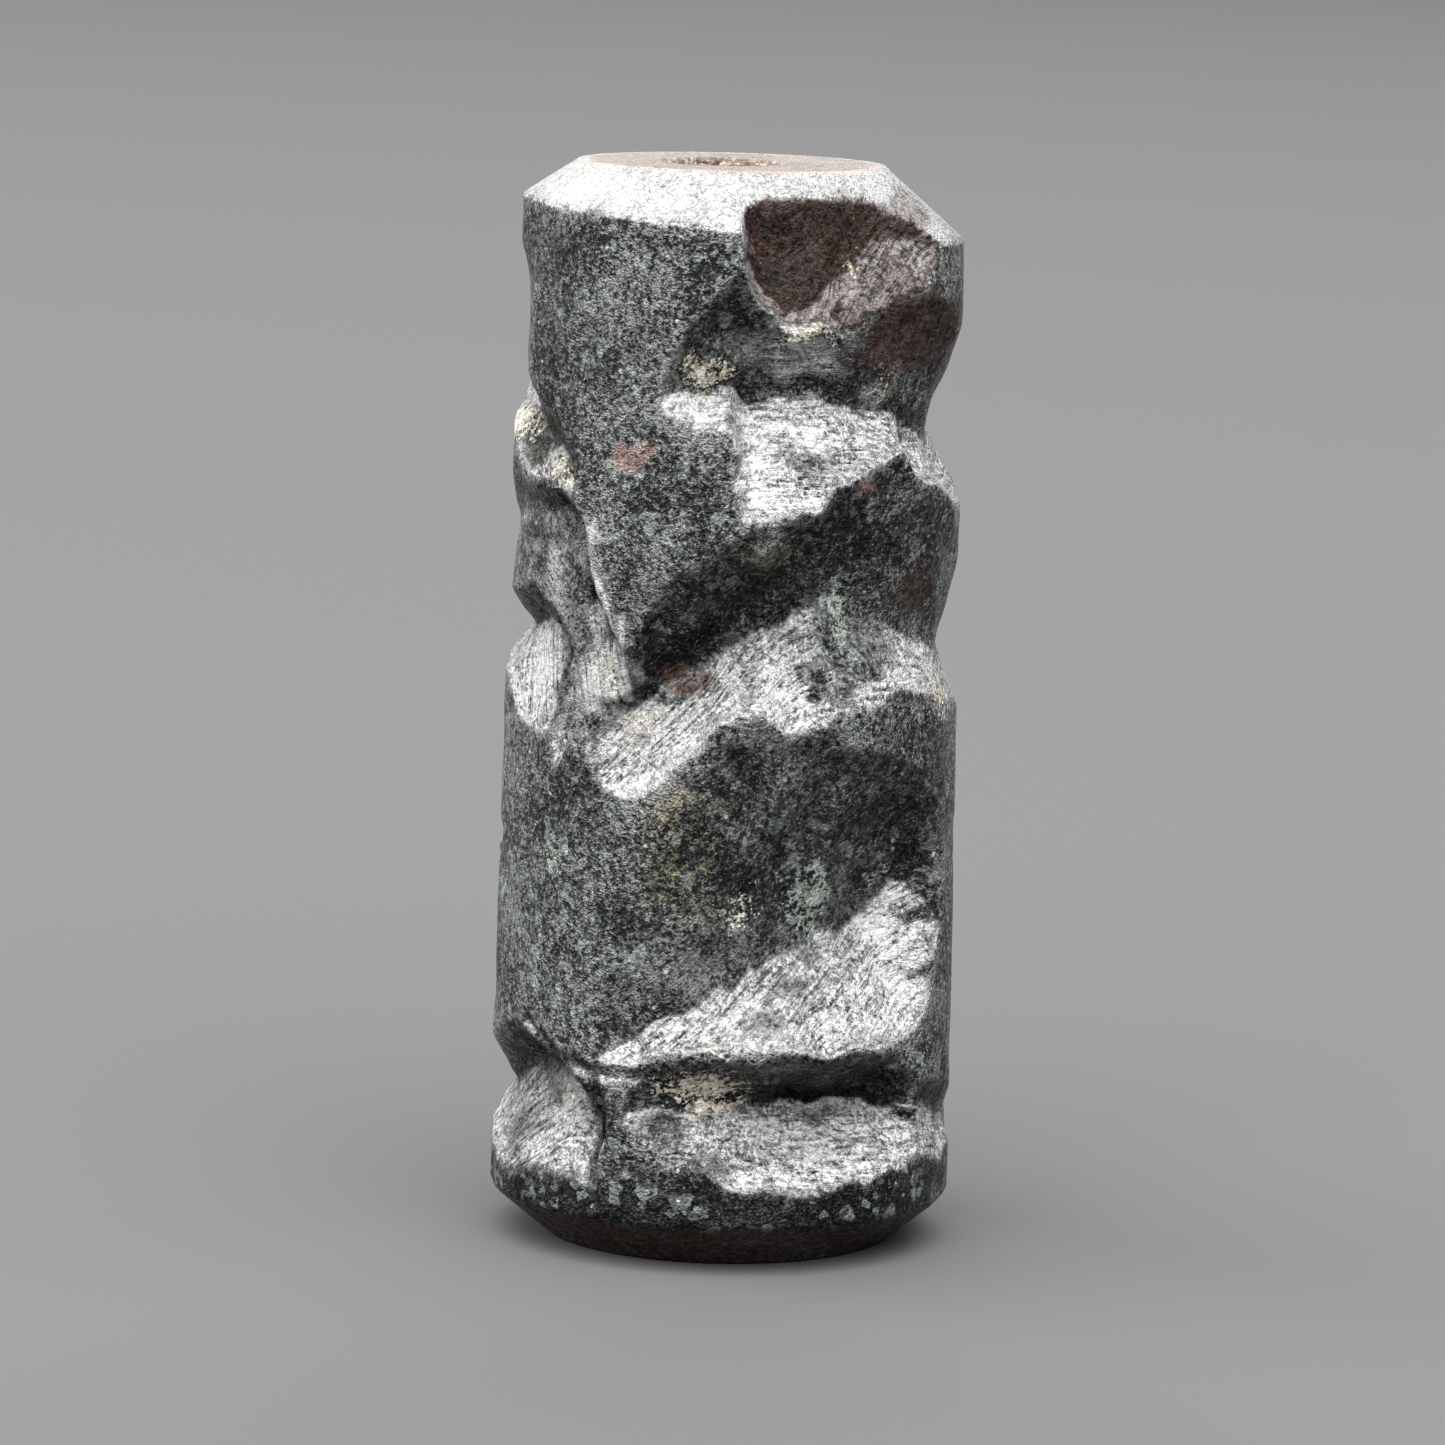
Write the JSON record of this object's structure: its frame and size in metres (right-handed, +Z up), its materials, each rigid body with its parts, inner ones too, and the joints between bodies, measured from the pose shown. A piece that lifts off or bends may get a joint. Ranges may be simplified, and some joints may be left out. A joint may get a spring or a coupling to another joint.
{
  "type": "cylinder seal",
  "caption": "Small dark greenstone column, bored lengthways, with chamfered worn ends and deep wheel-cut carving all the way round.",
  "frame": {"origin": "middle of the base face, which the stone stands on", "axes": "+Z up along the bore to the top face, -Y towards the side that the picture shows, +X to that side's right"},
  "size_m": [0.0126, 0.0126, 0.029],
  "materials": {
    "stone": "dark green-black speckled stone, worn to a dull gloss, with tan crust in the hollows"
  },
  "bodies": {
    "root": {"seal_stone": "stone"}
  },
  "joints": []
}
